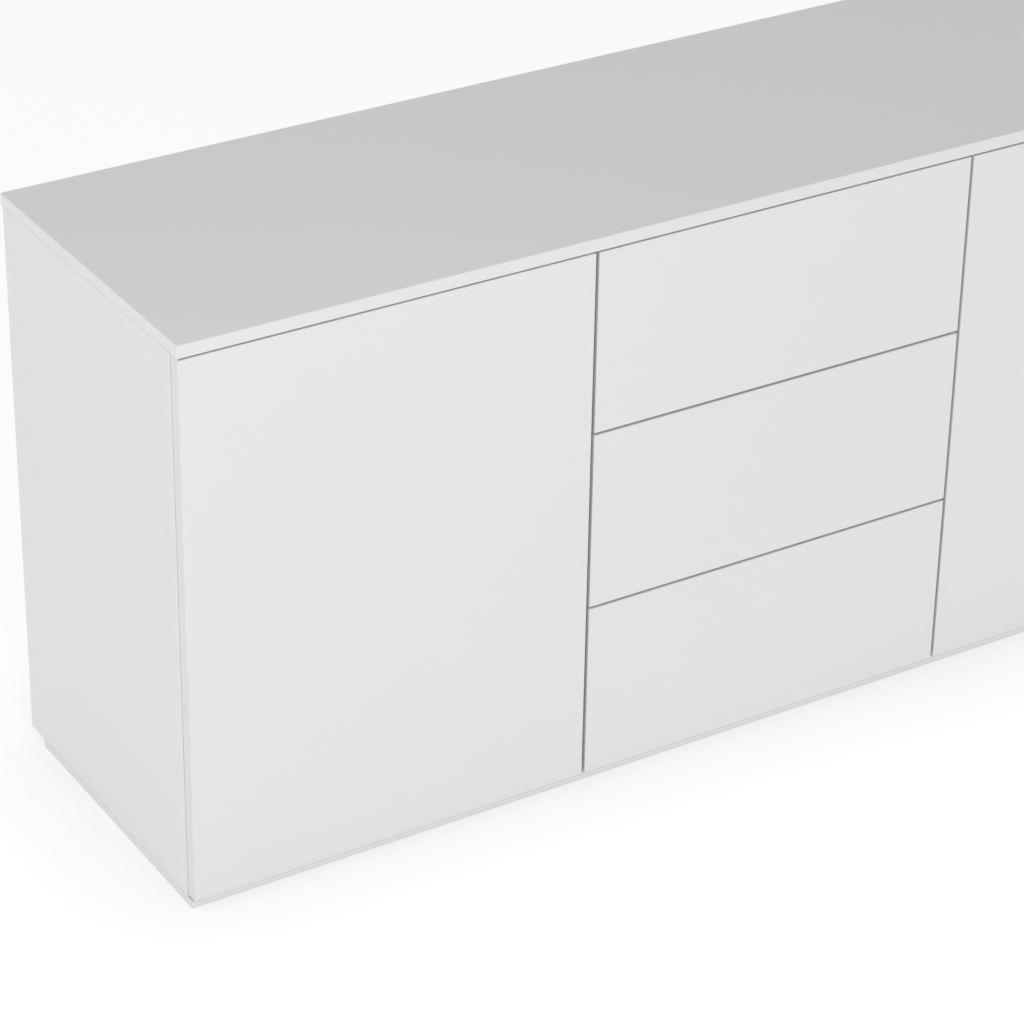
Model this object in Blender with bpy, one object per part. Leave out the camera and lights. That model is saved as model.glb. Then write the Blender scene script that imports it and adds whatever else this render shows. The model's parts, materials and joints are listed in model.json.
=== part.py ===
"""Handleless sideboard buffet: two doors and three drawers that open by a push.

Metres, +Z up. The origin is on the floor, under the middle of the top. The fronts face -Y, so the
left door is at -X. A side is -1 for left and +1 for right.
"""

import math

import bmesh
import bpy
from mathutils import Matrix, Vector

# Overall size and boards
WIDTH = 1.800
DEPTH = 0.500
HEIGHT = 0.830
MODULE = 0.600
BOARD = 0.018
THIN_BOARD = 0.006
TOUCH = 0.0003
OVERCUT = 0.002
EDGE_ROUND = 0.001
EDGE_BREAK = 0.0005
EDGE_FINE = 0.0002

# Fronts
TOP_GAP = 0.0025
SIDE_GAP = 0.0045
DRAWER_GAP = 0.0035
REAR_GAP = 0.002
SIDE_REAR_GAP = 0.0015
FRONT_BOTTOM = 0.0155

# Carcass
TOP_OVERHANG = 0.005
PANEL_BOTTOM = 0.0125
BACK_INSET = 0.012
GROOVE_DEPTH = 0.008
SHELF_SETBACK = 0.025
SHELF_SIDE_GAP = 0.0008

# Base
BASE_SETBACK = 0.008
BASE_SHORT = 0.045
STRIP_WIDTH = 0.060

# Holes for the shelf pins
PIN_HOLE_RADIUS = 0.0027
PIN_HOLE_DEPTH = 0.010
PIN_LEVELS = (0.340, 0.404, 0.468)
SHELF_BOTTOM = PIN_LEVELS[1] + 0.0027
PIN_ROWS = (-0.170, 0.180)

# Hinges, measured from the door's outer front corner: u runs inwards, v runs to the rear
HINGE_LEVELS = {"lower": 0.110, "upper": 0.714}
DOOR_PIVOT = (0.009, 0.016)
ARM_PIVOT = (0.028, 0.025)
LINK_BENDS = ((0.0115, 0.0126), (0.017, 0.0126), (0.0215, 0.017), (0.0245, 0.0212))
LINK_THICKNESS = 0.002
LINK_WIDTH = 0.008
EYE_RADIUS = 0.0022
PIVOT_HOLE_RADIUS = 0.0013
CUP_U = 0.0215
CUP_RADIUS = 0.0175
CUP_DEPTH = 0.0127
CUP_WALL = 0.0012
CUP_FLANGE = 0.0009
CUP_FLANGE_RADIUS = 0.0190
EAR_WIDTH = 0.018
EAR_SPAN = 0.052
ARM_SHEET = 0.0015
ARM_LOW_U = 0.022
ARM_HIGH_U = 0.0321
ARM_SPAN_V = (0.0214, 0.080)
PLATE_SPAN_V = (0.047, 0.075)
PLATE_SHEET = 0.002
PLATE_LENGTH = 0.050

# Push latches of the doors
LATCH_LEVEL = 0.765
LATCH_WIDTH = 0.012
LATCH_HEIGHT = 0.020
LATCH_LENGTH = 0.060
LATCH_SETBACK = 0.001
PLUNGER_RADIUS = 0.0045
PLUNGER_LENGTH = 0.054
PLUNGER_NOSE = 0.0008
PLUNGER_BACK = 0.0031

# Drawer boxes
DRAWERS = ("lower", "middle", "upper")
BOX_BOARD = 0.016
BOX_RISE = 0.030
BOX_HEIGHT = 0.180
BOX_LENGTH = 0.400
BOX_FLOOR_RISE = 0.012

# Ball runners
RUNNER_SPACE = 0.013
RUNNER_SHEET = 0.0012
RUNNER_RISE = 0.050
RUNNER_LENGTH = 0.398
CABINET_RAIL = {"web": 0.0003, "lip": 0.0095, "half": 0.0225}
MIDDLE_RAIL = {"web": 0.0032, "lip": 0.0102, "half": 0.0173}
CABINET_RAIL_START = 0.001
MIDDLE_RAIL_START = 0.0015

# Sides of the flat-sided circles that stand for round ones
CUP_SIDES = 24
LATCH_SIDES = 16
PIVOT_SIDES = 10
PIN_HOLE_SIDES = 8

# Places worked out from the sizes above
HALF_WIDTH = WIDTH / 2
FRONT_Y = -DEPTH / 2
TOP_UNDERSIDE = HEIGHT - BOARD
FRONT_TOP = TOP_UNDERSIDE - TOP_GAP
FRONT_REAR_Y = FRONT_Y + BOARD
CARCASS_FRONT_Y = FRONT_REAR_Y + REAR_GAP
SIDE_FRONT_Y = FRONT_REAR_Y + SIDE_REAR_GAP
CARCASS_REAR_Y = DEPTH / 2 - TOP_OVERHANG
FLOOR_TOP = PANEL_BOTTOM + BOARD
GROOVE_WIDTH = THIN_BOARD + 2 * TOUCH
GROOVE_REAR_Y = CARCASS_REAR_Y - BACK_INSET
GROOVE_FRONT_Y = GROOVE_REAR_Y - GROOVE_WIDTH
INNER_X = HALF_WIDTH - BOARD
PARTITION_X = MODULE / 2
BAY_X = PARTITION_X + BOARD / 2
DRAWER_BAY_X = PARTITION_X - BOARD / 2
BOX_X = DRAWER_BAY_X - RUNNER_SPACE
BOX_FRONT_Y = FRONT_REAR_Y + TOUCH
BOX_REAR_Y = BOX_FRONT_Y + BOX_LENGTH
DRAWER_FRONT_HEIGHT = (FRONT_TOP - FRONT_BOTTOM - 2 * DRAWER_GAP) / 3
LATCH_X = BAY_X + TOUCH + LATCH_WIDTH / 2
SIDES = {"left": -1, "right": 1}


# Small tools


def clear_scene():
    for obj in list(bpy.data.objects):
        bpy.data.objects.remove(obj, do_unlink=True)


def finish(name, colour, roughness, metallic=0.0):
    """A plain Principled material."""
    made = bpy.data.materials.new(name)
    made.use_nodes = True
    shader = made.node_tree.nodes["Principled BSDF"]
    shader.inputs["Base Color"].default_value = (*colour, 1.0)
    shader.inputs["Roughness"].default_value = roughness
    shader.inputs["Metallic"].default_value = metallic
    return made


def across(axis, a, b, level=0.0):
    """The point (a, b) of a plane across the x, y or z axis, at that level along it."""
    return Vector({"x": (level, a, b), "y": (a, level, b), "z": (a, b, level)}[axis])


def circle(axis, centre, radius, sides):
    """A regular polygon round a point, across an axis."""
    turns = (2 * math.pi * step / sides for step in range(sides))
    return [Vector(centre) + across(axis, radius * math.cos(t), radius * math.sin(t)) for t in turns]


def add_loop(bm, points):
    """Vertices and edges of a closed loop."""
    verts = [bm.verts.new(point) for point in points]
    edges = [bm.edges.new(pair) for pair in zip(verts, verts[1:] + verts[:1])]
    return verts, edges


def add_wall(bm, first, second):
    """Quads between two loops of the same count."""
    for index in range(len(first)):
        after = (index + 1) % len(first)
        bm.faces.new((first[index], first[after], second[after], second[index]))


def add_box(bm, low, high):
    """A box between its lowest and highest corner."""
    size = Vector(high) - Vector(low)
    middle = (Vector(high) + Vector(low)) / 2
    shape = Matrix.Translation(middle) @ Matrix.Diagonal((*size, 1.0))
    bmesh.ops.create_cube(bm, size=1.0, matrix=shape)


def add_prism(bm, outlines, axis, start, end):
    """A straight prism along an axis. The first outline is its outside, and any others are holes."""
    rims = []
    for level in (start, end):
        loops = [add_loop(bm, [across(axis, a, b, level) for a, b in points]) for points in outlines]
        bmesh.ops.triangle_fill(bm, edges=[edge for _, edges in loops for edge in edges], use_beauty=True)
        rims.append([verts for verts, _ in loops])
    for first, second in zip(*rims):
        add_wall(bm, first, second)


def add_loft(bm, loops):
    """A solid through stacked loops: walls between equal counts, a flat ring between unequal ones."""
    made = [add_loop(bm, points) for points in loops]
    for (first, first_edges), (second, second_edges) in zip(made, made[1:]):
        if len(first) == len(second):
            add_wall(bm, first, second)
        else:
            bmesh.ops.triangle_fill(bm, edges=first_edges + second_edges, use_beauty=True)
    for verts, _ in (made[0], made[-1]):
        bm.faces.new(verts)


def add_turned(bm, axis, start, profile, sides):
    """A turned solid: its profile is (distance along the axis, radius), from one end to the other."""
    add_loft(bm, [circle(axis, Vector(start) + across(axis, 0, 0, s), r, sides) for s, r in profile])


def origin_of(obj):
    """Where an unrotated object's origin is in the assembly."""
    place = Vector()
    while obj is not None:
        place += obj.location
        obj = obj.parent
    return place


def place(obj, origin, parent):
    bpy.context.scene.collection.objects.link(obj)
    obj.parent = parent
    obj.location = Vector(origin) - origin_of(parent)
    return obj


def axis_empty(name, origin, parent=None):
    """An empty on a joint's axis, which carries the pieces that move with it."""
    return place(bpy.data.objects.new(name, None), origin, parent)


def make(name, bm, material, origin=(0, 0, 0), parent=None, round_piece=False):
    """A named object from a shape drawn in the assembly's coordinates."""
    bmesh.ops.recalc_face_normals(bm, faces=bm.faces)
    bmesh.ops.translate(bm, verts=bm.verts, vec=-Vector(origin))
    mesh = bpy.data.meshes.new(name)
    bm.to_mesh(mesh)
    bm.free()
    if round_piece:
        mesh.shade_smooth()
        mesh.set_sharp_from_angle(angle=math.radians(40))
    mesh.materials.append(material)
    return place(bpy.data.objects.new(name, mesh), origin, parent)


def round_edges(obj, width, segments=1):
    bevel = obj.modifiers.new("edges", "BEVEL")
    bevel.width = width
    bevel.segments = segments
    bevel.limit_method = "ANGLE"


def combine(obj, bm, label, operation="DIFFERENCE"):
    """Takes a shape, drawn in the assembly's coordinates, out of an object, or joins it on."""
    cutter = make(f"{obj.name}_{label}", bm, obj.data.materials[0], origin_of(obj), obj)
    cutter.hide_render = True
    cutter.display_type = "WIRE"
    boolean = obj.modifiers.new(label, "BOOLEAN")
    boolean.operation = operation
    boolean.solver = "EXACT"
    boolean.object = cutter


def board(name, low, high, material, parent=None, edge=EDGE_BREAK):
    """A rectangular board with its own origin in its middle."""
    bm = bmesh.new()
    add_box(bm, low, high)
    obj = make(name, bm, material, (Vector(low) + Vector(high)) / 2, parent)
    round_edges(obj, edge)
    return obj


def eased_board(name, low, high, material, edge, lies_close, parent=None):
    """A board with rounded edges. Those that lie close to another board are only broken."""
    bm = bmesh.new()
    add_box(bm, low, high)
    share = bm.edges.layers.float.new("bevel_weight_edge")
    for line in bm.edges:
        middle = (line.verts[0].co + line.verts[1].co) / 2
        line[share] = EDGE_FINE / edge if lies_close(middle) else 1.0
    obj = make(name, bm, material, (Vector(low) + Vector(high)) / 2, parent)
    round_edges(obj, edge, 2)
    obj.modifiers["edges"].limit_method = "WEIGHT"
    return obj


def front_board(name, low, high, material, parent):
    """A door or drawer front, whose rear edges lie close to the carcass."""

    def lies_close(point):
        return point.y > FRONT_REAR_Y - EDGE_FINE

    return eased_board(name, low, high, material, EDGE_ROUND, lies_close, parent)


def ordered(a, b):
    return min(a, b), max(a, b)


# Carcass


def groove_outline(plain_x, grooved_x, inwards, front_y=CARCASS_FRONT_Y):
    """A board across z with a groove for the back panel in one face, as corners from the front."""
    deep_x = grooved_x - inwards * GROOVE_DEPTH
    return [
        (plain_x, front_y),
        (grooved_x, front_y),
        (grooved_x, GROOVE_FRONT_Y),
        (deep_x, GROOVE_FRONT_Y),
        (deep_x, GROOVE_REAR_Y),
        (grooved_x, GROOVE_REAR_Y),
        (grooved_x, CARCASS_REAR_Y),
        (plain_x, CARCASS_REAR_Y),
    ]


def cut_pin_holes(obj, face_x, inwards):
    """Rows of holes for the shelf pins, drilled into a face that looks inwards along x."""
    bm = bmesh.new()
    for y in PIN_ROWS:
        for z in PIN_LEVELS:
            start = face_x - inwards * PIN_HOLE_DEPTH
            length = inwards * (PIN_HOLE_DEPTH + OVERCUT)
            hole = [(0, PIN_HOLE_RADIUS), (length, PIN_HOLE_RADIUS)]
            add_turned(bm, "x", (start, y, z), hole, PIN_HOLE_SIDES)
    combine(obj, bm, "pin_holes")


def build_carcass(lacquer, inside, back_finish):
    eased_board(
        "top_panel",
        (-HALF_WIDTH, FRONT_Y, TOP_UNDERSIDE),
        (HALF_WIDTH, DEPTH / 2, HEIGHT),
        lacquer,
        EDGE_BREAK,
        lambda point: point.z < TOP_UNDERSIDE + EDGE_FINE and point.y > FRONT_Y + EDGE_FINE,
    )
    for name, side in SIDES.items():
        bm = bmesh.new()
        outline = groove_outline(side * HALF_WIDTH, side * INNER_X, -side, SIDE_FRONT_Y)
        add_prism(bm, [outline], "z", PANEL_BOTTOM, TOP_UNDERSIDE - TOUCH)
        panel = make(f"{name}_side_panel", bm, lacquer, (side * HALF_WIDTH, 0, PANEL_BOTTOM))
        round_edges(panel, EDGE_FINE)
        cut_pin_holes(panel, side * INNER_X, -side)

        bm = bmesh.new()
        bay, middle = side * BAY_X, side * DRAWER_BAY_X
        bay_half = groove_outline(side * PARTITION_X, bay, side)[1:-1]
        middle_half = groove_outline(side * PARTITION_X, middle, -side)[1:-1]
        outline = bay_half + middle_half[::-1]
        add_prism(bm, [outline], "z", FLOOR_TOP + TOUCH, TOP_UNDERSIDE - TOUCH)
        partition = make(f"{name}_partition", bm, inside, (side * PARTITION_X, 0, FLOOR_TOP))
        round_edges(partition, EDGE_BREAK)
        cut_pin_holes(partition, bay, side)
        build_shelf(name, side, inside)

    bm = bmesh.new()
    outline = [
        (CARCASS_FRONT_Y, PANEL_BOTTOM),
        (CARCASS_REAR_Y, PANEL_BOTTOM),
        (CARCASS_REAR_Y, FLOOR_TOP),
        (GROOVE_REAR_Y, FLOOR_TOP),
        (GROOVE_REAR_Y, FLOOR_TOP - GROOVE_DEPTH),
        (GROOVE_FRONT_Y, FLOOR_TOP - GROOVE_DEPTH),
        (GROOVE_FRONT_Y, FLOOR_TOP),
        (CARCASS_FRONT_Y, FLOOR_TOP),
    ]
    add_prism(bm, [outline], "x", -INNER_X + TOUCH, INNER_X - TOUCH)
    round_edges(make("bottom_panel", bm, inside, (0, 0, PANEL_BOTTOM)), EDGE_BREAK)
    build_back(back_finish)


def build_back(back_finish):
    """Three thin panels held in the grooves."""
    low_z = FLOOR_TOP - GROOVE_DEPTH + TOUCH
    high_z = TOP_UNDERSIDE - TOUCH
    in_groove = GROOVE_DEPTH - TOUCH
    spans = {
        "left": (-INNER_X - in_groove, -BAY_X + in_groove),
        "middle": (-DRAWER_BAY_X - in_groove, DRAWER_BAY_X + in_groove),
        "right": (BAY_X - in_groove, INNER_X + in_groove),
    }
    for name, (low_x, high_x) in spans.items():
        low = (low_x, GROOVE_FRONT_Y + TOUCH, low_z)
        high = (high_x, GROOVE_REAR_Y - TOUCH, high_z)
        board(f"{name}_back_panel", low, high, back_finish)


def build_shelf(name, side, inside):
    low_x, high_x = ordered(side * (BAY_X + SHELF_SIDE_GAP), side * (INNER_X - SHELF_SIDE_GAP))
    low = (low_x, CARCASS_FRONT_Y + SHELF_SETBACK, SHELF_BOTTOM)
    high = (high_x, GROOVE_FRONT_Y - TOUCH, SHELF_BOTTOM + BOARD)
    board(f"{name}_shelf", low, high, inside)


# Base


def build_base(base_finish):
    """A low frame of four strips, which stands on the floor."""
    front_y = FRONT_Y + BASE_SETBACK
    rear_y = DEPTH / 2 - BASE_SHORT
    high_z = PANEL_BOTTOM - TOUCH
    for name, start_y in {"front": front_y, "rear": rear_y - STRIP_WIDTH}.items():
        low = (-HALF_WIDTH, start_y, 0)
        high = (HALF_WIDTH, start_y + STRIP_WIDTH, high_z)
        board(f"base_{name}_strip", low, high, base_finish, edge=EDGE_FINE)
    low_y = front_y + STRIP_WIDTH + TOUCH
    high_y = rear_y - STRIP_WIDTH - TOUCH
    for name, side in SIDES.items():
        low_x, high_x = ordered(side * HALF_WIDTH, side * (HALF_WIDTH - STRIP_WIDTH))
        low, high = (low_x, low_y, 0), (high_x, high_y, high_z)
        board(f"base_{name}_strip", low, high, base_finish, edge=EDGE_FINE)


# Doors and hinges


def hinge_point(side, u, v):
    """A point of the hinge plan in the assembly's x and y."""
    return side * (HALF_WIDTH - u), FRONT_Y + v


def strap_outline(path, half, eye):
    """A bent strap of even width along a path, with a round eye about each end of it."""
    points = [Vector(p) for p in path]
    gap = math.asin(half / eye)
    steps = PIVOT_SIDES - 2

    def eye_arc(centre, towards):
        along = towards - centre
        start = math.atan2(along.y, along.x) + gap
        sweep = 2 * math.pi - 2 * gap
        turns = [start + sweep * step / steps for step in range(steps + 1)]
        return [centre + eye * Vector((math.cos(t), math.sin(t))) for t in turns]

    left, right = [], []
    for before, here, after in zip(points, points[1:], points[2:]):
        into, out = (here - before).normalized(), (after - here).normalized()
        mitre = Vector((-(into.y + out.y), into.x + out.x)).normalized()
        reach = half / mitre.dot(Vector((-into.y, into.x)))
        left.append(here + mitre * reach)
        right.append(here - mitre * reach)
    return eye_arc(points[0], points[1]) + right + eye_arc(points[-1], points[-2]) + left[::-1]


def build_link(name, side, z, parent, metal):
    """The bent link that joins a cup to its arm, with an eye for a pin at both ends."""
    path = [DOOR_PIVOT, *LINK_BENDS, ARM_PIVOT]
    outline = [hinge_point(side, *p) for p in strap_outline(path, LINK_THICKNESS / 2, EYE_RADIUS)]
    holes = []
    for pivot in (DOOR_PIVOT, ARM_PIVOT):
        ring = circle("z", (*hinge_point(side, *pivot), 0), PIVOT_HOLE_RADIUS, PIVOT_SIDES)
        holes.append([(p.x, p.y) for p in ring])
    bm = bmesh.new()
    add_prism(bm, [outline, *holes], "z", z - LINK_WIDTH / 2, z + LINK_WIDTH / 2)
    make(f"{name}_hinge_link", bm, metal, (*hinge_point(side, *ARM_PIVOT), z), parent)


def eared_plate(centre, level):
    """A round plate with a straight ear above and below, across y."""
    half, reach = EAR_WIDTH / 2, EAR_SPAN / 2
    corner = math.acos(half / CUP_FLANGE_RADIUS)
    steps = CUP_SIDES // 3
    points = []
    for turn, ear in ((0, 1), (math.pi, -1)):
        for step in range(steps + 1):
            angle = turn - corner + 2 * corner * step / steps
            points.append((CUP_FLANGE_RADIUS * math.cos(angle), CUP_FLANGE_RADIUS * math.sin(angle)))
        points += [(ear * half, ear * reach), (-ear * half, ear * reach)]
    return [Vector((centre.x + a, level, centre.z + b)) for a, b in points]


def build_cup(name, side, z, parent, metal):
    """A pressed cup, let into the door's back, that holds the link's front pin."""
    under_flange = FRONT_REAR_Y + TOUCH
    top = under_flange + CUP_FLANGE
    bottom = FRONT_REAR_Y - CUP_DEPTH + TOUCH
    outer = CUP_RADIUS - TOUCH
    inner = outer - CUP_WALL
    x, _ = hinge_point(side, CUP_U, 0)

    def ring(y, radius):
        return circle("y", (x, y, z), radius, CUP_SIDES)

    centre = Vector((x, 0, z))
    loops = [
        ring(bottom, outer),
        ring(under_flange, outer),
        eared_plate(centre, under_flange),
        eared_plate(centre, top),
        ring(top, inner),
        ring(bottom + CUP_WALL, inner),
    ]
    bm = bmesh.new()
    add_loft(bm, loops)
    origin = (*hinge_point(side, *DOOR_PIVOT), z)
    make(f"{name}_hinge_cup", bm, metal, origin, parent, round_piece=True)


def build_arm(name, side, z, metal):
    """A channel that holds the link's rear pin, on a mounting plate with a wing above and below."""
    face_u = BOARD + TOUCH
    block_half = LINK_WIDTH / 2 + TOUCH
    cheek_half = block_half + ARM_SHEET
    web_u = ARM_HIGH_U - ARM_SHEET
    plate_half = PLATE_LENGTH / 2
    plate_profile = [
        (face_u, -plate_half),
        (face_u + PLATE_SHEET, -plate_half),
        (face_u + PLATE_SHEET, -block_half),
        (web_u + ARM_SHEET / 2, -block_half),
        (web_u + ARM_SHEET / 2, block_half),
        (face_u + PLATE_SHEET, block_half),
        (face_u + PLATE_SHEET, plate_half),
        (face_u, plate_half),
    ]
    arm_profile = [
        (ARM_LOW_U, -cheek_half),
        (ARM_HIGH_U, -cheek_half),
        (ARM_HIGH_U, cheek_half),
        (ARM_LOW_U, cheek_half),
        (ARM_LOW_U, block_half),
        (web_u, block_half),
        (web_u, -block_half),
        (ARM_LOW_U, -block_half),
    ]
    shapes = []
    for profile, span in ((arm_profile, ARM_SPAN_V), (plate_profile, PLATE_SPAN_V)):
        outline = [(hinge_point(side, u, 0)[0], z + h) for u, h in profile]
        shapes.append(bmesh.new())
        add_prism(shapes[-1], [outline], "y", FRONT_Y + span[0], FRONT_Y + span[1])
    arm = make(f"{name}_hinge_arm", shapes[0], metal, (*hinge_point(side, *ARM_PIVOT), z))
    combine(arm, shapes[1], "mounting_plate", "UNION")
    bm = bmesh.new()
    hole = [(0, PIVOT_HOLE_RADIUS), (2 * LINK_WIDTH, PIVOT_HOLE_RADIUS)]
    add_turned(bm, "z", (*hinge_point(side, *ARM_PIVOT), z - LINK_WIDTH), hole, PIVOT_SIDES)
    combine(arm, bm, "pin_hole")


def build_door(name, side, lacquer, metal):
    lower = HINGE_LEVELS["lower"]
    link_axis = axis_empty(f"{name}_link_axis", (*hinge_point(side, *ARM_PIVOT), lower))
    door_pivot = (*hinge_point(side, *DOOR_PIVOT), lower)
    door_axis = axis_empty(f"{name}_door_axis", door_pivot, link_axis)
    free_x = PARTITION_X + SIDE_GAP / 2
    low_x, high_x = ordered(side * HALF_WIDTH, side * free_x)
    low, high = (low_x, FRONT_Y, FRONT_BOTTOM), (high_x, FRONT_REAR_Y, FRONT_TOP)
    panel = front_board(f"{name}_door_panel", low, high, lacquer, door_axis)
    recesses = bmesh.new()
    for level, z in HINGE_LEVELS.items():
        x, _ = hinge_point(side, CUP_U, 0)
        recess = [(0, CUP_RADIUS), (CUP_DEPTH + OVERCUT, CUP_RADIUS)]
        add_turned(recesses, "y", (x, FRONT_REAR_Y - CUP_DEPTH, z), recess, CUP_SIDES)
        build_cup(f"{name}_{level}", side, z, door_axis, metal)
        build_link(f"{name}_{level}", side, z, link_axis, metal)
        build_arm(f"{name}_{level}", side, z, metal)
    combine(panel, recesses, "cup_recesses")


# Push latches


def build_latch(name, side, plastic):
    """The push latch of a door: a square case with a bore, and the plunger in it."""
    low_x, high_x = ordered(side * (BAY_X + TOUCH), side * (BAY_X + TOUCH + LATCH_WIDTH))
    low_z, high_z = LATCH_LEVEL - LATCH_HEIGHT / 2, LATCH_LEVEL + LATCH_HEIGHT / 2
    outline = [(low_x, low_z), (high_x, low_z), (high_x, high_z), (low_x, high_z)]
    ring = circle("y", (side * LATCH_X, 0, LATCH_LEVEL), PLUNGER_RADIUS + TOUCH, LATCH_SIDES)
    start_y = CARCASS_FRONT_Y + LATCH_SETBACK
    case = bmesh.new()
    add_prism(case, [outline, [(p.x, p.z) for p in ring]], "y", start_y, start_y + LATCH_LENGTH)
    make(f"{name}_latch_case", case, plastic, (side * LATCH_X, start_y, LATCH_LEVEL))

    tip = (side * LATCH_X, FRONT_REAR_Y + PLUNGER_BACK, LATCH_LEVEL)
    profile = [
        (0, PLUNGER_RADIUS - PLUNGER_NOSE),
        (PLUNGER_NOSE, PLUNGER_RADIUS),
        (PLUNGER_LENGTH, PLUNGER_RADIUS),
    ]
    plunger = bmesh.new()
    add_turned(plunger, "y", tip, profile, LATCH_SIDES)
    make(f"{name}_latch_plunger", plunger, plastic, tip, round_piece=True)


# Drawers and runners


def drawer_bottom(index):
    """The height of a drawer front's lower edge, counted from the lowest drawer."""
    return FRONT_BOTTOM + index * (DRAWER_FRONT_HEIGHT + DRAWER_GAP)


def rail_outline(side, z, rail):
    """The channel section of a runner member: a web, and two flanges that point to the drawer."""
    web, lip, half = rail["web"], rail["lip"], rail["half"]
    inner = web + RUNNER_SHEET
    profile = [
        (web, -half),
        (lip, -half),
        (lip, -half + RUNNER_SHEET),
        (inner, -half + RUNNER_SHEET),
        (inner, half - RUNNER_SHEET),
        (lip, half - RUNNER_SHEET),
        (lip, half),
        (web, half),
    ]
    return [(side * (DRAWER_BAY_X - d), z + h) for d, h in profile]


def build_rails(name, index, rail, start_y, steel, parent=None):
    """The left and right rail of one kind for a drawer."""
    z = drawer_bottom(index) + BOX_RISE + RUNNER_RISE
    for side_name, side in SIDES.items():
        bm = bmesh.new()
        add_prism(bm, [rail_outline(side, z, rail)], "y", start_y, start_y + RUNNER_LENGTH)
        origin = (side * DRAWER_BAY_X, start_y, z)
        make(f"{DRAWERS[index]}_{side_name}_{name}_rail", bm, steel, origin, parent)


def build_drawer(name, index, lacquer, box_finish, steel):
    bottom = drawer_bottom(index)
    low = (-PARTITION_X + SIDE_GAP / 2, FRONT_Y, bottom)
    high = (PARTITION_X - SIDE_GAP / 2, FRONT_REAR_Y, bottom + DRAWER_FRONT_HEIGHT)
    slide = axis_empty(f"{name}_drawer_axis", (0, FRONT_Y, bottom))
    front_board(f"{name}_drawer_front", low, high, lacquer, slide)

    box_low = bottom + BOX_RISE
    box_high = box_low + BOX_HEIGHT
    floor_low = box_low + BOX_FLOOR_RISE
    floor_high = floor_low + THIN_BOARD
    inner_x = BOX_X - BOX_BOARD
    for side_name, side in SIDES.items():
        outer, inner, deep = (side * x for x in (BOX_X, inner_x, inner_x + GROOVE_DEPTH))
        outline = [
            (outer, box_low),
            (inner, box_low),
            (inner, floor_low - TOUCH),
            (deep, floor_low - TOUCH),
            (deep, floor_high + TOUCH),
            (inner, floor_high + TOUCH),
            (inner, box_high),
            (outer, box_high),
        ]
        bm = bmesh.new()
        add_prism(bm, [outline], "y", BOX_FRONT_Y, BOX_REAR_Y)
        origin = (outer, BOX_FRONT_Y, box_low)
        round_edges(make(f"{name}_drawer_{side_name}", bm, box_finish, origin, slide), EDGE_BREAK)

    low = (-inner_x + TOUCH, BOX_REAR_Y - BOX_BOARD, floor_high + TOUCH)
    board(f"{name}_drawer_back", low, (inner_x - TOUCH, BOX_REAR_Y, box_high), box_finish, slide)
    floor_x = inner_x + GROOVE_DEPTH - TOUCH
    low = (-floor_x, BOX_FRONT_Y, floor_low)
    board(f"{name}_drawer_floor", low, (floor_x, BOX_REAR_Y - TOUCH, floor_high), box_finish, slide)

    carriage = axis_empty(f"{name}_carriage_axis", (0, CARCASS_FRONT_Y, bottom))
    build_rails("cabinet", index, CABINET_RAIL, CARCASS_FRONT_Y + CABINET_RAIL_START, steel)
    build_rails("middle", index, MIDDLE_RAIL, CARCASS_FRONT_Y + MIDDLE_RAIL_START, steel, carriage)


def build():
    clear_scene()
    lacquer = finish("white_lacquer", (0.80, 0.80, 0.80), 0.35)
    base_finish = finish("base_lacquer", (0.74, 0.74, 0.74), 0.5)
    inside = finish("white_melamine", (0.78, 0.78, 0.77), 0.5)
    back_finish = finish("white_hardboard", (0.76, 0.76, 0.75), 0.6)
    box_finish = finish("drawer_melamine", (0.77, 0.77, 0.76), 0.5)
    steel = finish("zinc_steel", (0.62, 0.63, 0.65), 0.35, 1.0)
    metal = finish("nickel_plated", (0.66, 0.65, 0.62), 0.25, 1.0)
    plastic = finish("grey_plastic", (0.45, 0.46, 0.47), 0.5)

    build_carcass(lacquer, inside, back_finish)
    build_base(base_finish)
    for name, side in SIDES.items():
        build_door(name, side, lacquer, metal)
        build_latch(name, side, plastic)
    for index, name in enumerate(DRAWERS):
        build_drawer(name, index, lacquer, box_finish, steel)


build()
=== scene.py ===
import json
import math

import bmesh
import bpy
from mathutils import Euler, Matrix, Vector


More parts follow.
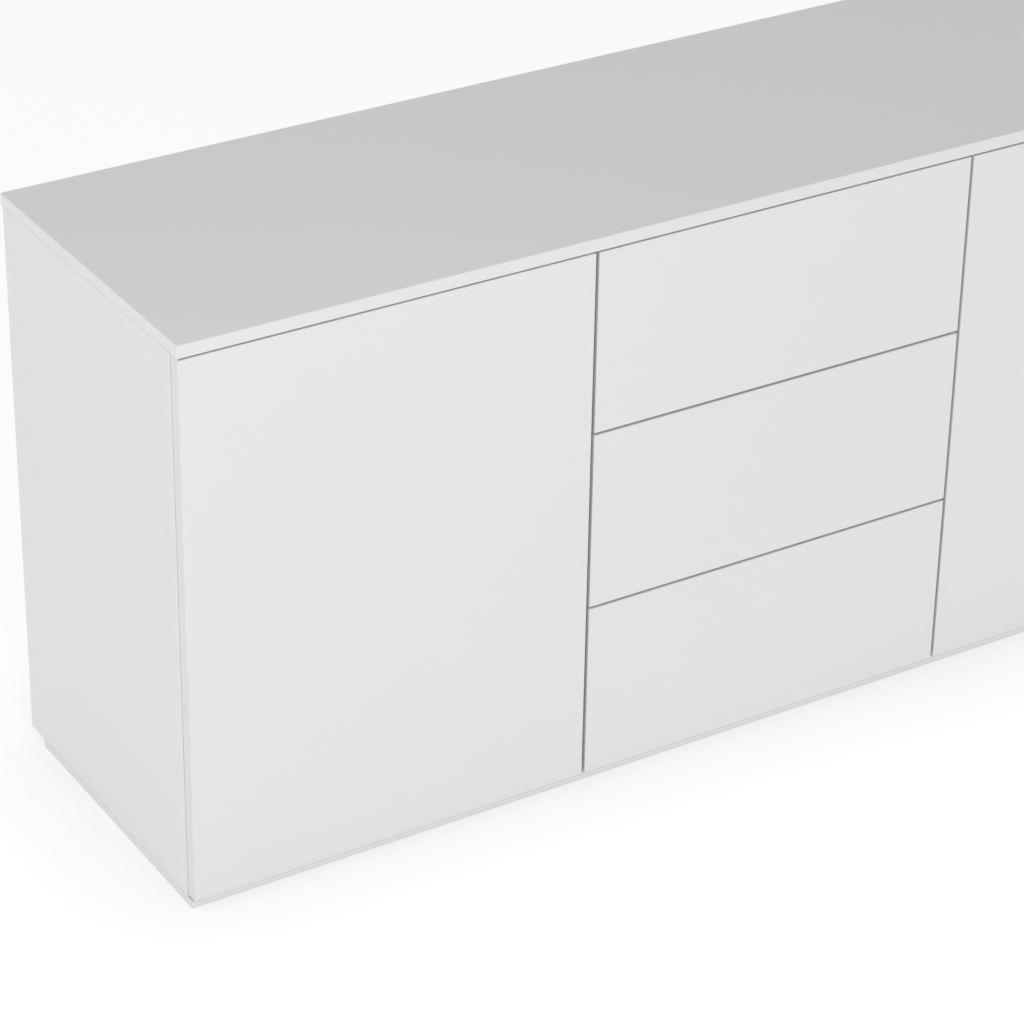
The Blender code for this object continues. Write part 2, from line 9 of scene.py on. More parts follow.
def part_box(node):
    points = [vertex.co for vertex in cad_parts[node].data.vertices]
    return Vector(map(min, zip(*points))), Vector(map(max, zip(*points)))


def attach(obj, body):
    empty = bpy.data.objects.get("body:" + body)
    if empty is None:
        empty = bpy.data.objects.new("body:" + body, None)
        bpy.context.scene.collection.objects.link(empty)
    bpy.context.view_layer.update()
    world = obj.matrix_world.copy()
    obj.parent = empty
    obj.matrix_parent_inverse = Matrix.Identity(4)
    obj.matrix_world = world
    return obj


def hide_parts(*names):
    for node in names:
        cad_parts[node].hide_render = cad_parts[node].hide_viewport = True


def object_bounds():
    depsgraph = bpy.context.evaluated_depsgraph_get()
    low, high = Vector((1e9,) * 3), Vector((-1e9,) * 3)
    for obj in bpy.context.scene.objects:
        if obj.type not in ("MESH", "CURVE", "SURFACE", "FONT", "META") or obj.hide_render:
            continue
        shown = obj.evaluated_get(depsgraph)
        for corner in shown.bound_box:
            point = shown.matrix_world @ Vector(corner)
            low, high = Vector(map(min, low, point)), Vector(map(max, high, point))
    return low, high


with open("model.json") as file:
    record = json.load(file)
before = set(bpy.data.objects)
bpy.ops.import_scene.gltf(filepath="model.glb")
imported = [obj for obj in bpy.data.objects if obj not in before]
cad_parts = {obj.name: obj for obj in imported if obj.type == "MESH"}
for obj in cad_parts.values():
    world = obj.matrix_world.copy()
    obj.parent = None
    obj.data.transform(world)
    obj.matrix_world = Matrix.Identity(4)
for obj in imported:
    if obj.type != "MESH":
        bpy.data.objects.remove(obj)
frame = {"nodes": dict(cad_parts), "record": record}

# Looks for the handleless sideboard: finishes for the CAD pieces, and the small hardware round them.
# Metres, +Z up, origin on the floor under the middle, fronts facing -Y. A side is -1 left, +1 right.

scene = bpy.context.scene
nodes = frame["nodes"]
cad_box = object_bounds()

SIDES = {"left": -1, "right": 1}
DRAWERS = ("lower", "middle", "upper")

# Camera, solved from the straight edges of the cabinet
CAMERA_AT = (-2.67484, -3.85001, 2.89050)
CAMERA_TURN = (60.26135, -0.86352, -31.53564)
CAMERA_LENS = 131.9055
CAMERA_SENSOR = 36.0

# Sky: its brightness at the horizon, and how that changes with direction
SKY_HORIZON = 1.015
SKY_SLOPE = (0.075, 0.0, -0.685)

# Finishes: the part of a pattern's range that is used, and how squarely a face looks at an axis
PATTERN_SPAN = (0.3, 0.7)
FRONT_FACING = (-0.5, -0.9)
EDGE_FACING = 0.75

# Painted shade: tones that multiply a colour, and the heights between which they come in on the base
FRONT_EDGE_SHADE_TONE = 0.95
DRAWER_SIDE_SHADE_TONE = 0.82
FLOOR_SHADE = (0.0005, 0.006)
FLOOR_SHADE_TONE = 0.95
OVERHANG_SHADE = (0.0100, 0.0065)
OVERHANG_SHADE_TONE = 0.86

# Places that the CAD fixes
HALF_WIDTH = cad_box[1].x
FRONT_Y = cad_box[0].y
FRONT_REAR_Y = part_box("left_door_panel")[1].y
BAY_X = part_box("right_partition")[1].x
DRAWER_BAY_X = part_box("right_partition")[0].x
INNER_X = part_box("right_side_panel")[0].x
SHELF_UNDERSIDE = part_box("left_shelf")[0].z
TOP_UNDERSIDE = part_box("top_panel")[0].z

# Hinges, as distances in from the door's outer edge (u) and back from its face (v)
HINGE_LEVELS = {"lower": 0.110, "upper": 0.714}
DOOR_PIVOT = (0.009, 0.016)
ARM_PIVOT = (0.028, 0.025)
CUP_U = 0.0215
CUP_RADIUS = 0.0172
CUP_WALL = 0.0012
FLANGE_RADIUS = 0.0190
FLANGE_STEPS = 16
EAR_HALF = 0.009
EAR_REACH = 0.026
EAR_ROUND = 0.005
CUP_FLANGE = 0.0009
CUP_SIDES = 64
PLATE_FACE_U = 0.0203
PLATE_SCREW_V = 0.061
ARM_TOP_U = 0.0321
CUP_PIN = {"radius": 0.0012, "reach": 0.0095, "tip": 0.0010, "taper": 0.0003}
ARM_PIN = {"radius": 0.0012, "reach": 0.0059, "head": 0.0005}
ARM_PIN_HEAD = ((1.0, 0.0013), (0.6, 0.0019), (0.0, 0.0021))
HINGE_EDGE = 0.00025
WELD_DISTANCE = 0.00002

# A hinge cup's turned shape, as steps along it and inwards from its outer or inner radius
CUP_OUTSIDE = ((0, 0.002), (0.0006, 0.0006), (0.002, 0))
CUP_MOUTH = ((0, -0.0007), (0.0003, -0.0002), (0.001, 0))
CUP_INSIDE = ((0.0025, 0), (0.0008, 0.0008), (0, 0.003))
CUP_DIMPLE = ((0, 0.006), (0.0005, 0.005))

# Screw heads: radius and height
CUP_SCREW = (0.0031, 0.0007)
CUP_SCREW_REACH = 0.0222
PLATE_SCREW = (0.0038, 0.0017)
PLATE_SCREW_REACH = 0.016
ADJUSTING_SCREWS = {0.052: (0.0030, 0.0010), 0.069: (0.0033, 0.0010)}
LATCH_SCREW = (0.0030, 0.0009)
LATCH_SCREW_INSET = 0.012
RAIL_SCREW = (0.0032, 0.00045)
CAM_FITTING = (0.0075, 0.0005)
CAM_FITTING_DROP = 0.026
CAM_FITTING_ROWS = (-0.135, 0.140)
SCREW_SIDES = 28

# Any screw head, as shares of its height and radius: its dome, and the arms and depth of its recess
SCREW_DOME = ((-0.3, 0.8), (0.0, 1.0), (0.45, 0.97), (0.8, 0.86), (1.0, 0.72))
RECESS_ARM = 0.62
RECESS_HALF = 0.13
RECESS_LEVELS = (1.0, 0.15)

# Shelf pins, as distances into the bay and radii
PIN_ROWS = {"front": -0.170, "rear": 0.180}
PIN_DROP = 0.0027
PIN_PROFILE = (
    (-0.0095, 0.0019),
    (-0.009, 0.0024),
    (0, 0.0024),
    (0, 0.0036),
    (0.0006, 0.0036),
    (0.0006, 0.0024),
    (0.0082, 0.0024),
    (0.0088, 0.0020),
    (0.009, 0.0012),
)
PIN_SIDES = 24

# Strike plates: distance from the door's rear face, and radius
STRIKE_PROFILE = ((0, 0.0058), (0.0005, 0.0058), (0.0008, 0.0055))
STRIKE_SIDES = 40
LATCH_EDGE = 0.0006

# Runner members, as distances from the partition's face and half their height
OUTER_RAIL = {"web": 0.0003, "lip": 0.0095, "half": 0.0225, "thickness": 0.0012, "curl": 0.0012}
SLIDING_RAIL = {"web": 0.0032, "lip": 0.0102, "half": 0.0173, "thickness": 0.0010, "curl": 0.0012}
DRAWER_RAIL = {"web": 0.0127, "lip": 0.0060, "half": 0.0121, "thickness": 0.0010, "curl": 0.0}
OUTER_CAGE = {"web": 0.00205, "lip": 0.0080, "half": 0.01955, "thickness": 0.0005, "curl": 0.0}
INNER_CAGE = {"web": 0.00495, "lip": 0.0096, "half": 0.01435, "thickness": 0.0005, "curl": 0.0}
RUNNER_LENGTH = 0.398
RAIL_EDGE = 0.00015
RAIL_BEND = 0.0016
BEND_TURNS = (0, 18, 36, 54, 72, 90)
CURL_TURNS = (-10, 10, 30, 50, 70, 90)
RAIL_SMOOTH_ANGLE = 30
BALL_SMOOTH_ANGLE = 180
SCREW_ROWS = (-0.205, -0.035, 0.140)
RAIL_SCREW_DEPTHS = {"outer": 0.0015, "drawer": 0.0117}
BALL_RADIUS = 0.00195
BALL_SEGMENTS = {"u_segments": 16, "v_segments": 10}
BALLS_IN_ROW = 8

# Ball cages: name, section, span in y, and the balls' distance from the partition and their height
CAGES = (
    ("outer", OUTER_CAGE, (0.000, 0.120), 0.0062, 0.0193),
    ("inner", INNER_CAGE, (-0.200, -0.080), 0.0078, 0.0141),
)

# Lips at the ends of the gap under the top, and the strips across the base
GAP_END = {"height": 0.0021, "width": 0.0012, "play": 0.0001, "front": 0.0005, "rear": 0.001}
CROSS_STRIP_X = 0.300
CROSS_STRIP = {"half": 0.030, "edge": 0.0008, "gap": 0.0003}

# Floor: its glow under cover and in the open, and how far cover reaches
FLOOR_RADIUS = 40.0
FLOOR_LEVEL = -0.0002
FLOOR_GLOW = (0.42, 0.63)
FLOOR_COVER = 0.24

# Lights: where each is, what it looks at, its size and its power
LIGHTS = {
    "front_softbox": ((-2.2, -2.6, 2.2), (-0.6, -0.25, 0.6), (1.6, 1.4), 10.0),
    "top_softbox": ((-1.5, -1.2, 3.0), (-0.7, 0.0, 0.8), (1.4, 1.4), 11.0),
}


# Materials


class Surface:
    """A Principled material whose colour, roughness and bump come from procedural textures."""

    def __init__(self, name, metallic=0.0, specular=0.5):
        self.material = bpy.data.materials.new(name)
        self.material.use_nodes = True
        self.tree = self.material.node_tree
        self.shader = self.tree.nodes["Principled BSDF"]
        self.shader.inputs["Metallic"].default_value = metallic
        self.shader.inputs["Specular IOR Level"].default_value = specular
        source = self.add("ShaderNodeTexCoord")
        self.coords = source.outputs["Object"]
        self.object_normal = source.outputs["Normal"]

    def add(self, kind):
        return self.tree.nodes.new(kind)

    def join(self, start, end):
        self.tree.links.new(start, end)

    def stretched(self, stretch):
        mapping = self.add("ShaderNodeMapping")
        mapping.inputs["Scale"].default_value = stretch
        self.join(self.coords, mapping.inputs["Vector"])
        return mapping.outputs["Vector"]

    def noise(self, scale, detail=2.0, stretch=(1, 1, 1)):
        node = self.add("ShaderNodeTexNoise")
        node.inputs["Scale"].default_value = scale
        node.inputs["Detail"].default_value = detail
        self.join(self.stretched(stretch), node.inputs["Vector"])
        return node.outputs["Fac"]

    def cells(self, scale):
        node = self.add("ShaderNodeTexVoronoi")
        node.inputs["Scale"].default_value = scale
        self.join(self.coords, node.inputs["Vector"])
        return node.outputs["Color"]

    def colour(self, factor, low, high):
        ramp = self.add("ShaderNodeValToRGB")
        for element, position, tone in zip(ramp.color_ramp.elements, PATTERN_SPAN, (low, high)):
            element.position = position
            element.color = (*tone, 1)
        self.join(factor, ramp.inputs["Fac"])
        self.join(ramp.outputs["Color"], self.shader.inputs["Base Color"])

    def tint(self, share, tone):
        """Multiplies the colour by a grey tone where share is 1."""
        base = self.shader.inputs["Base Color"]
        mix = self.add("ShaderNodeMix")
        mix.data_type = "RGBA"
        mix.blend_type = "MULTIPLY"
        mix.inputs["B"].default_value = (tone, tone, tone, 1)
        self.join(share, mix.inputs["Factor"])
        self.join(base.links[0].from_socket, mix.inputs["A"])
        self.join(mix.outputs["Result"], base)

    def part_of(self, vector, axis):
        split = self.add("ShaderNodeSeparateXYZ")
        self.join(vector, split.inputs[0])
        return split.outputs[axis]

    def ranged(self, value, start, end, low=0.0, high=1.0):
        node = self.add("ShaderNodeMapRange")
        for name, number in zip(("From Min", "From Max", "To Min", "To Max"), (start, end, low, high)):
            node.inputs[name].default_value = number
        self.join(value, node.inputs["Value"])
        return node.outputs["Result"]

    def away_from(self, axis, limit):
        """1 on faces that look away from an axis of the object, 0 on faces that look along it."""
        along = self.part_of(self.object_normal, axis)
        return self.ranged(self.both(along, along), limit, 0.0)

    def looking_along(self, axis, limit):
        """1 on faces that look along an axis of the object, 0 on faces that look away from it."""
        along = self.part_of(self.object_normal, axis)
        return self.ranged(self.both(along, along), 0.0, limit)

    def fading(self, axis, full, none):
        """1 at one place along an axis of the object and beyond it, fading to 0 at another."""
        return self.ranged(self.part_of(self.coords, axis), none, full)

    def facing_front(self):
        """1 on faces that look to the front of the object."""
        return self.ranged(self.part_of(self.object_normal, "Y"), *FRONT_FACING)

    def both(self, first, second):
        product = self.add("ShaderNodeMath")
        product.operation = "MULTIPLY"
        self.join(first, product.inputs[0])
        self.join(second, product.inputs[1])
        return product.outputs[0]

    def roughness(self, factor, low, high):
        level = self.ranged(factor, *PATTERN_SPAN, low, high)
        self.join(level, self.shader.inputs["Roughness"])

    def bump(self, height, strength, distance):
        node = self.add("ShaderNodeBump")
        node.inputs["Strength"].default_value = strength
        node.inputs["Distance"].default_value = distance
        self.join(height, node.inputs["Height"])
        self.join(node.outputs["Normal"], self.shader.inputs["Normal"])


def white_lacquer(name, edge_shade_tone=1.0, side_shade_tone=1.0):
    """Satin lacquer with a trace of orange peel. Edges may carry painted shade, side edges the most."""
    s = Surface(name)
    s.colour(s.noise(1.7), (0.795, 0.797, 0.797), (0.808, 0.808, 0.805))
    s.roughness(s.noise(45.0, 3.0), 0.30, 0.37)
    s.bump(s.noise(650.0, 1.0), 0.05, 0.0002)
    # Painted shade on the edges, darkest on the side edges, which darkens the gaps between the fronts
    if edge_shade_tone < 1.0:
        s.tint(s.away_from("Y", EDGE_FACING), edge_shade_tone)
    if side_shade_tone < 1.0:
        s.tint(s.looking_along("X", EDGE_FACING), side_shade_tone)
    return s.material


def base_lacquer():
    """Matt lacquer, with shade painted on at the floor and where the fronts overhang the front strip."""
    s = Surface("base_lacquer", specular=0.4)
    s.colour(s.noise(3.0), (0.80, 0.80, 0.797), (0.81, 0.81, 0.807))
    s.roughness(s.noise(60.0, 3.0), 0.42, 0.52)
    s.bump(s.noise(900.0, 2.0), 0.08, 0.0002)
    s.tint(s.fading("Z", *FLOOR_SHADE), FLOOR_SHADE_TONE)
    s.tint(s.both(s.facing_front(), s.fading("Z", *OVERHANG_SHADE)), OVERHANG_SHADE_TONE)
    return s.material


def melamine(name, tone):
    s = Surface(name, specular=0.4)
    s.colour(s.noise(6.0, 3.0), [tone - 0.008] * 3, [tone + 0.006, tone + 0.006, tone])
    s.roughness(s.noise(90.0, 3.0), 0.44, 0.54)
    s.bump(s.noise(1500.0, 2.0), 0.12, 0.0001)
    return s.material


def white_hardboard():
    s = Surface("white_hardboard", specular=0.3)
    fibres = s.noise(240.0, 4.0, (1.0, 1.0, 0.35))
    s.colour(fibres, (0.735, 0.735, 0.725), (0.765, 0.765, 0.755))
    s.roughness(s.noise(60.0, 3.0), 0.56, 0.68)
    s.bump(fibres, 0.2, 0.0002)
    return s.material


def nickel_plated():
    s = Surface("nickel_plated", metallic=1.0)
    s.colour(s.noise(160.0, 3.0), (0.60, 0.59, 0.56), (0.69, 0.68, 0.65))
    s.roughness(s.noise(420.0, 3.0), 0.20, 0.32)
    s.bump(s.noise(900.0, 2.0, (1.0, 0.1, 1.0)), 0.10, 0.00005)
    return s.material


def zinc_steel():
    s = Surface("zinc_steel", metallic=1.0)
    s.colour(s.cells(140.0), (0.56, 0.57, 0.59), (0.67, 0.68, 0.70))
    s.roughness(s.noise(300.0, 3.0, (1.0, 0.06, 1.0)), 0.28, 0.42)
    s.bump(s.noise(700.0, 2.0, (1.0, 0.03, 1.0)), 0.15, 0.00005)
    return s.material


def ball_steel():
    s = Surface("ball_steel", metallic=1.0)
    s.colour(s.noise(500.0), (0.70, 0.70, 0.71), (0.76, 0.76, 0.77))
    s.roughness(s.noise(900.0), 0.08, 0.14)
    return s.material


def moulded(name, low, high):
    s = Surface(name, specular=0.4)
    s.colour(s.noise(120.0, 3.0), low, high)
    s.roughness(s.noise(400.0, 2.0), 0.42, 0.56)
    s.bump(s.noise(2600.0, 2.0), 0.25, 0.00008)
    return s.material


FINISHES = {
    "white_lacquer": white_lacquer("white_lacquer"),
    "base_lacquer": base_lacquer(),
    "white_melamine": melamine("white_melamine", 0.785),
    "white_hardboard": white_hardboard(),
    "nickel_plated": nickel_plated(),
    "zinc_steel": zinc_steel(),
    "grey_plastic": moulded("grey_plastic", (0.42, 0.43, 0.44), (0.48, 0.49, 0.50)),
}
# Fronts with painted shade on their edges, deepest on the drawers' side edges, which darkens the gaps
# between them
DOOR_FINISH = white_lacquer("door_lacquer", FRONT_EDGE_SHADE_TONE)
DRAWER_FINISH = white_lacquer("drawer_lacquer", FRONT_EDGE_SHADE_TONE, DRAWER_SIDE_SHADE_TONE)
BALL_FINISH = ball_steel()
CAGE_FINISH = moulded("cage_plastic", (0.64, 0.63, 0.58), (0.70, 0.69, 0.64))


# Shapes


def across(axis, a, b, level=0.0):
    """The point (a, b) of a plane across the x, y or z axis, at that level along it."""
    return Vector({"x": (level, a, b), "y": (a, level, b), "z": (a, b, level)}[axis])


def circle(axis, centre, radius, sides=48):
    turns = (2 * math.pi * step / sides for step in range(sides))
    return [Vector(centre) + across(axis, radius * math.cos(t), radius * math.sin(t)) for t in turns]


def add_loop(bm, points):
    verts = [bm.verts.new(point) for point in points]
    return verts, [bm.edges.new(pair) for pair in zip(verts, verts[1:] + verts[:1])]


def add_wall(bm, first, second):
    for index in range(len(first)):
        after = (index + 1) % len(first)
        bm.faces.new((first[index], first[after], second[after], second[index]))


def add_loft(bm, loops):
    """A solid through stacked loops: walls between equal counts, a flat ring between unequal ones."""
    made = [add_loop(bm, points) for points in loops]
    for (first, first_edges), (second, second_edges) in zip(made, made[1:]):
        if len(first) == len(second):
            add_wall(bm, first, second)
        else:
            bmesh.ops.triangle_fill(bm, edges=first_edges + second_edges, use_beauty=True)
    for verts, _ in (made[0], made[-1]):
        bm.faces.new(verts)


def add_turned(bm, axis, start, profile, sides=32):
    """A turned solid: its profile is (distance along the axis, radius), from one end to the other."""
    add_loft(bm, [circle(axis, Vector(start) + across(axis, 0, 0, s), r, sides) for s, r in profile])


def add_prism(bm, outlines, axis, start, end):
    """A straight prism along an axis. The first outline is its outside, and any others are holes."""
    rims = []
    for level in (start, end):
        loops = [add_loop(bm, [across(axis, a, b, level) for a, b in points]) for points in outlines]
        bmesh.ops.triangle_fill(bm, edges=[edge for _, edges in loops for edge in edges], use_beauty=True)
        rims.append([verts for verts, _ in loops])
    for first, second in zip(*rims):
        add_wall(bm, first, second)


def arc(centre, radius, start, end, steps=5):
    """Points of an arc in a plane, from one angle to another in degrees."""
    turns = [math.radians(start + (end - start) * step / steps) for step in range(steps + 1)]
    return [(centre[0] + radius * math.cos(t), centre[1] + radius * math.sin(t)) for t in turns]


def thick_line(path, half):
    """The outline of a strip of even thickness along a bent line."""
    points = [Vector(p) for p in path]
    left, right = [], []
    for index, here in enumerate(points):
        into = (here - points[index - 1]).normalized() if index else None
        out = (points[index + 1] - here).normalized() if index + 1 < len(points) else None
        into, out = into or out, out or into
        mitre = Vector((-(into.y + out.y), into.x + out.x)).normalized()
        reach = half / mitre.dot(Vector((-into.y, into.x)))
        left.append(here + mitre * reach)
        right.append(here - mitre * reach)
    return [(p.x, p.y) for p in left + right[::-1]]


def piece(name, bm, origin, body, slot, finish=None, smooth=35, bevel=0.0):
    """Turns a shape drawn in the row frame into a named piece that rides on a CAD body."""
    bmesh.ops.recalc_face_normals(bm, faces=bm.faces)
    bmesh.ops.translate(bm, verts=bm.verts, vec=-Vector(origin))
    mesh = bpy.data.meshes.new(name)
    bm.to_mesh(mesh)
    bm.free()
    mesh.shade_smooth()
    mesh.set_sharp_from_angle(angle=math.radians(smooth))
    mesh.materials.append(finish or FINISHES[slot])
    obj = bpy.data.objects.new(name, mesh)
    scene.collection.objects.link(obj)
    obj.location = origin
    if bevel:
        soften(obj, bevel)
    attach(obj, body)
    return obj


def soften(obj, width, segments=1, angle=50):
    bevel = obj.modifiers.new("edges", "BEVEL")
    bevel.width = width
    bevel.segments = segments
    bevel.limit_method = "ANGLE"
    bevel.angle_limit = math.radians(angle)


def add_screw(bm, axis, point, outwards, radius, height):
    """A domed screw head on a face, with a cross recess; outwards is the sign along the axis."""
    arm, half = RECESS_ARM * radius, RECESS_HALF * radius
    corners = [
        (arm, half), (half, half), (half, arm), (-half, arm), (-half, half), (-arm, half),
        (-arm, -half), (-half, -half), (-half, -arm), (half, -arm), (half, -half), (arm, -half),
    ]

    def level(share):
        return Vector(point) + across(axis, 0, 0, outwards * height * share)

    loops = [circle(axis, level(s), radius * r, SCREW_SIDES) for s, r in SCREW_DOME]
    loops += [[level(s) + across(axis, a, b) for a, b in corners] for s in RECESS_LEVELS]
    add_loft(bm, loops)


# Finishes of the CAD pieces

SLOTS = {part["node"]: part["material_slot"] for part in frame["record"]["subparts"]}
FRONT_FINISHES = {f"{side_name}_door_panel": DOOR_FINISH for side_name in SIDES}
FRONT_FINISHES |= {f"{drawer}_drawer_front": DRAWER_FINISH for drawer in DRAWERS}
for name, node in nodes.items():
    for place in node.material_slots:
        place.material = FRONT_FINISHES.get(name, FINISHES[SLOTS[name]])


def smooth_group():
    """A node group that turns smooth shading on, for a CAD mesh that keeps its own data."""
    group = bpy.data.node_groups.new("smooth_shading", "GeometryNodeTree")
    group.interface.new_socket("Geometry", in_out="INPUT", socket_type="NodeSocketGeometry")
    group.interface.new_socket("Geometry", in_out="OUTPUT", socket_type="NodeSocketGeometry")
    start, end = group.nodes.new("NodeGroupInput"), group.nodes.new("NodeGroupOutput")
    shade = group.nodes.new("GeometryNodeSetShadeSmooth")
    group.links.new(start.outputs[0], shade.inputs["Geometry"])
    group.links.new(shade.outputs["Geometry"], end.inputs[0])
    return group


SMOOTH = smooth_group()


def weld(obj):
    join = obj.modifiers.new("weld", "WELD")
    join.merge_threshold = WELD_DISTANCE


def smooth_shade(obj):
    """Rounded shading over the CAD's own rounded edges, with flat faces kept flat."""
    obj.modifiers.new("smooth", "NODES").node_group = SMOOTH
    weighted = obj.modifiers.new("normals", "WEIGHTED_NORMAL")
    weighted.mode = "FACE_AREA"
    weighted.weight = 100


BOARDS = [n for n in nodes if SLOTS[n].startswith(("white_", "base_"))]
for name in BOARDS:
    weld(nodes[name])
    smooth_shade(nodes[name])


# Hinges


def hinge_point(side, u, v):
    return side * (HALF_WIDTH - u), FRONT_Y + v


def eared_outline(x, y, z):
    """A round flange with a rounded ear above and below it, across y."""
    corner = math.degrees(math.acos(EAR_HALF / FLANGE_RADIUS))
    points = []
    for sign, base in ((1, 0), (-1, 180)):
        points += arc((0, 0), FLANGE_RADIUS, base - corner, base + corner, FLANGE_STEPS)
        inset = (sign * (EAR_HALF - EAR_ROUND), sign * (EAR_REACH - EAR_ROUND))
        points += arc(inset, EAR_ROUND, base, base + 90)
        points += arc((-inset[0], inset[1]), EAR_ROUND, base + 90, base + 180)
    return [Vector((x + a, y, z + b)) for a, b in points]


def build_cup(side_name, side, level, z):
    label = f"{side_name}_{level}_hinge"
    x, _ = hinge_point(side, CUP_U, 0)
    low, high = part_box(f"{label}_cup")
    bottom, top = low.y, high.y
    under = top - CUP_FLANGE
    inner = CUP_RADIUS - CUP_WALL
    floor = bottom + CUP_WALL

    def ring(y, radius):
        return circle("y", (x, y, z), radius, CUP_SIDES)

    bm = bmesh.new()
    loops = [ring(bottom + step, CUP_RADIUS - inset) for step, inset in CUP_OUTSIDE]
    loops += [ring(under, CUP_RADIUS), eared_outline(x, under, z), eared_outline(x, top, z)]
    loops += [ring(top - step, inner - inset) for step, inset in CUP_MOUTH]
    loops += [ring(floor + step, inner - inset) for step, inset in CUP_INSIDE]
    loops += [ring(floor + step, radius) for step, radius in CUP_DIMPLE]
    add_loft(bm, loops)
    cup = piece(f"{label}_pressed_cup", bm, (x, top, z), f"{side_name}_door", "nickel_plated")
    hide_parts(f"{label}_cup")

    bm = bmesh.new()
    for reach in (-CUP_SCREW_REACH, CUP_SCREW_REACH):
        add_screw(bm, "y", (x, top, z + reach), 1, *CUP_SCREW)
    piece(f"{label}_cup_screws", bm, (x, top, z), f"{side_name}_door", "nickel_plated")

    bm = bmesh.new()
    px, py = hinge_point(side, *DOOR_PIVOT)
    radius, reach = CUP_PIN["radius"], CUP_PIN["reach"]
    profile = [(0, CUP_PIN["tip"]), (CUP_PIN["taper"], radius), (2 * reach, radius)]
    add_turned(bm, "z", (px, py, z - reach), profile)
    piece(f"{label}_cup_pin", bm, (px, py, z), f"{side_name}_door", "nickel_plated")


def build_arm_hardware(side_name, side, level, z):
    label = f"{side_name}_{level}_hinge"
    px, py = hinge_point(side, *ARM_PIVOT)
    half, head, radius = ARM_PIN["reach"], ARM_PIN["head"], ARM_PIN["radius"]
    profile = [(-half - head * share, wide) for share, wide in ARM_PIN_HEAD] + [(-half, radius)]
    profile += [(-s, r) for s, r in reversed(profile)]
    bm = bmesh.new()
    add_turned(bm, "z", (px, py, z), profile)
    piece(f"{label}_arm_pin", bm, (px, py, z), "carcass", "nickel_plated")

    plate_x, plate_y = hinge_point(side, PLATE_FACE_U, PLATE_SCREW_V)
    bm = bmesh.new()
    for reach in (-PLATE_SCREW_REACH, PLATE_SCREW_REACH):
        add_screw(bm, "x", (plate_x, plate_y, z + reach), -side, *PLATE_SCREW)
    piece(f"{label}_plate_screws", bm, (plate_x, plate_y, z), "carcass", "zinc_steel")

    top_x, _ = hinge_point(side, ARM_TOP_U, 0)
    bm = bmesh.new()
    for v, head in ADJUSTING_SCREWS.items():
        add_screw(bm, "x", (top_x, FRONT_Y + v, z), -side, *head)
    piece(f"{label}_adjusting_screws", bm, (top_x, py, z), "carcass", "nickel_plated")


# Shelf pins, fittings and latches


def build_shelf_pins(side_name, side):
    """Four pins under a shelf, in the CAD's holes."""
    z = SHELF_UNDERSIDE - PIN_DROP
    for face, inwards in ((BAY_X, side), (INNER_X, -side)):
        for row, y in PIN_ROWS.items():
            where = "partition" if face == BAY_X else "side"
            bm = bmesh.new()
            start = (side * face, y, z)
            add_turned(bm, "x", start, [(inwards * s, r) for s, r in PIN_PROFILE], PIN_SIDES)
            piece(f"{side_name}_{where}_{row}_shelf_pin", bm, start, "carcass", "nickel_plated")


def build_fittings(side_name, side):
    """The round cam fittings that draw the uprights up to the top."""
    z = TOP_UNDERSIDE - CAM_FITTING_DROP
    for where, face, inwards in (("partition", BAY_X, side), ("side", INNER_X, -side)):
        bm = bmesh.new()
        for y in CAM_FITTING_ROWS:
            add_screw(bm, "x", (side * face, y, z), inwards, *CAM_FITTING)
        piece(f"{side_name}_{where}_cam_fittings", bm, (side * face, 0, z), "carcass", "zinc_steel")


def build_latch_hardware(side_name, side):
    low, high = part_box(f"{side_name}_latch_case")
    x, z = (low.x + high.x) / 2, (low.z + high.z) / 2
    face = high.x if side > 0 else low.x
    bm = bmesh.new()
    for y in (low.y + LATCH_SCREW_INSET, high.y - LATCH_SCREW_INSET):
        add_screw(bm, "x", (face, y, z), side, *LATCH_SCREW)
    piece(f"{side_name}_latch_screws", bm, (face, low.y, z), "carcass", "zinc_steel")

    bm = bmesh.new()
    add_turned(bm, "y", (x, FRONT_REAR_Y, z), STRIKE_PROFILE, STRIKE_SIDES)
    piece(f"{side_name}_strike_plate", bm, (x, FRONT_REAR_Y, z), f"{side_name}_door", "zinc_steel")


# Ball runners


def channel(web, lip, half, thickness, curl):
    """The centre line of a channel section from one lip to the other; lip may be on either side of web."""
    way = 1 if lip > web else -1
    t = thickness / 2
    flange, back, end = half - t, web + way * t, lip - way * t
    upper = [(lip, flange)]
    if curl:
        turns = [math.radians(d) for d in CURL_TURNS]
        reach = way * curl
        upper = [
            (end - reach + reach * math.cos(a), flange - curl + curl * math.sin(a)) for a in turns
        ]
    turns = [math.radians(d) for d in BEND_TURNS]
    reach = way * RAIL_BEND
    upper += [
        (back + reach - reach * math.sin(a), flange - RAIL_BEND + RAIL_BEND * math.cos(a))
        for a in turns
    ]
    return upper + [(d, -h) for d, h in reversed(upper)]


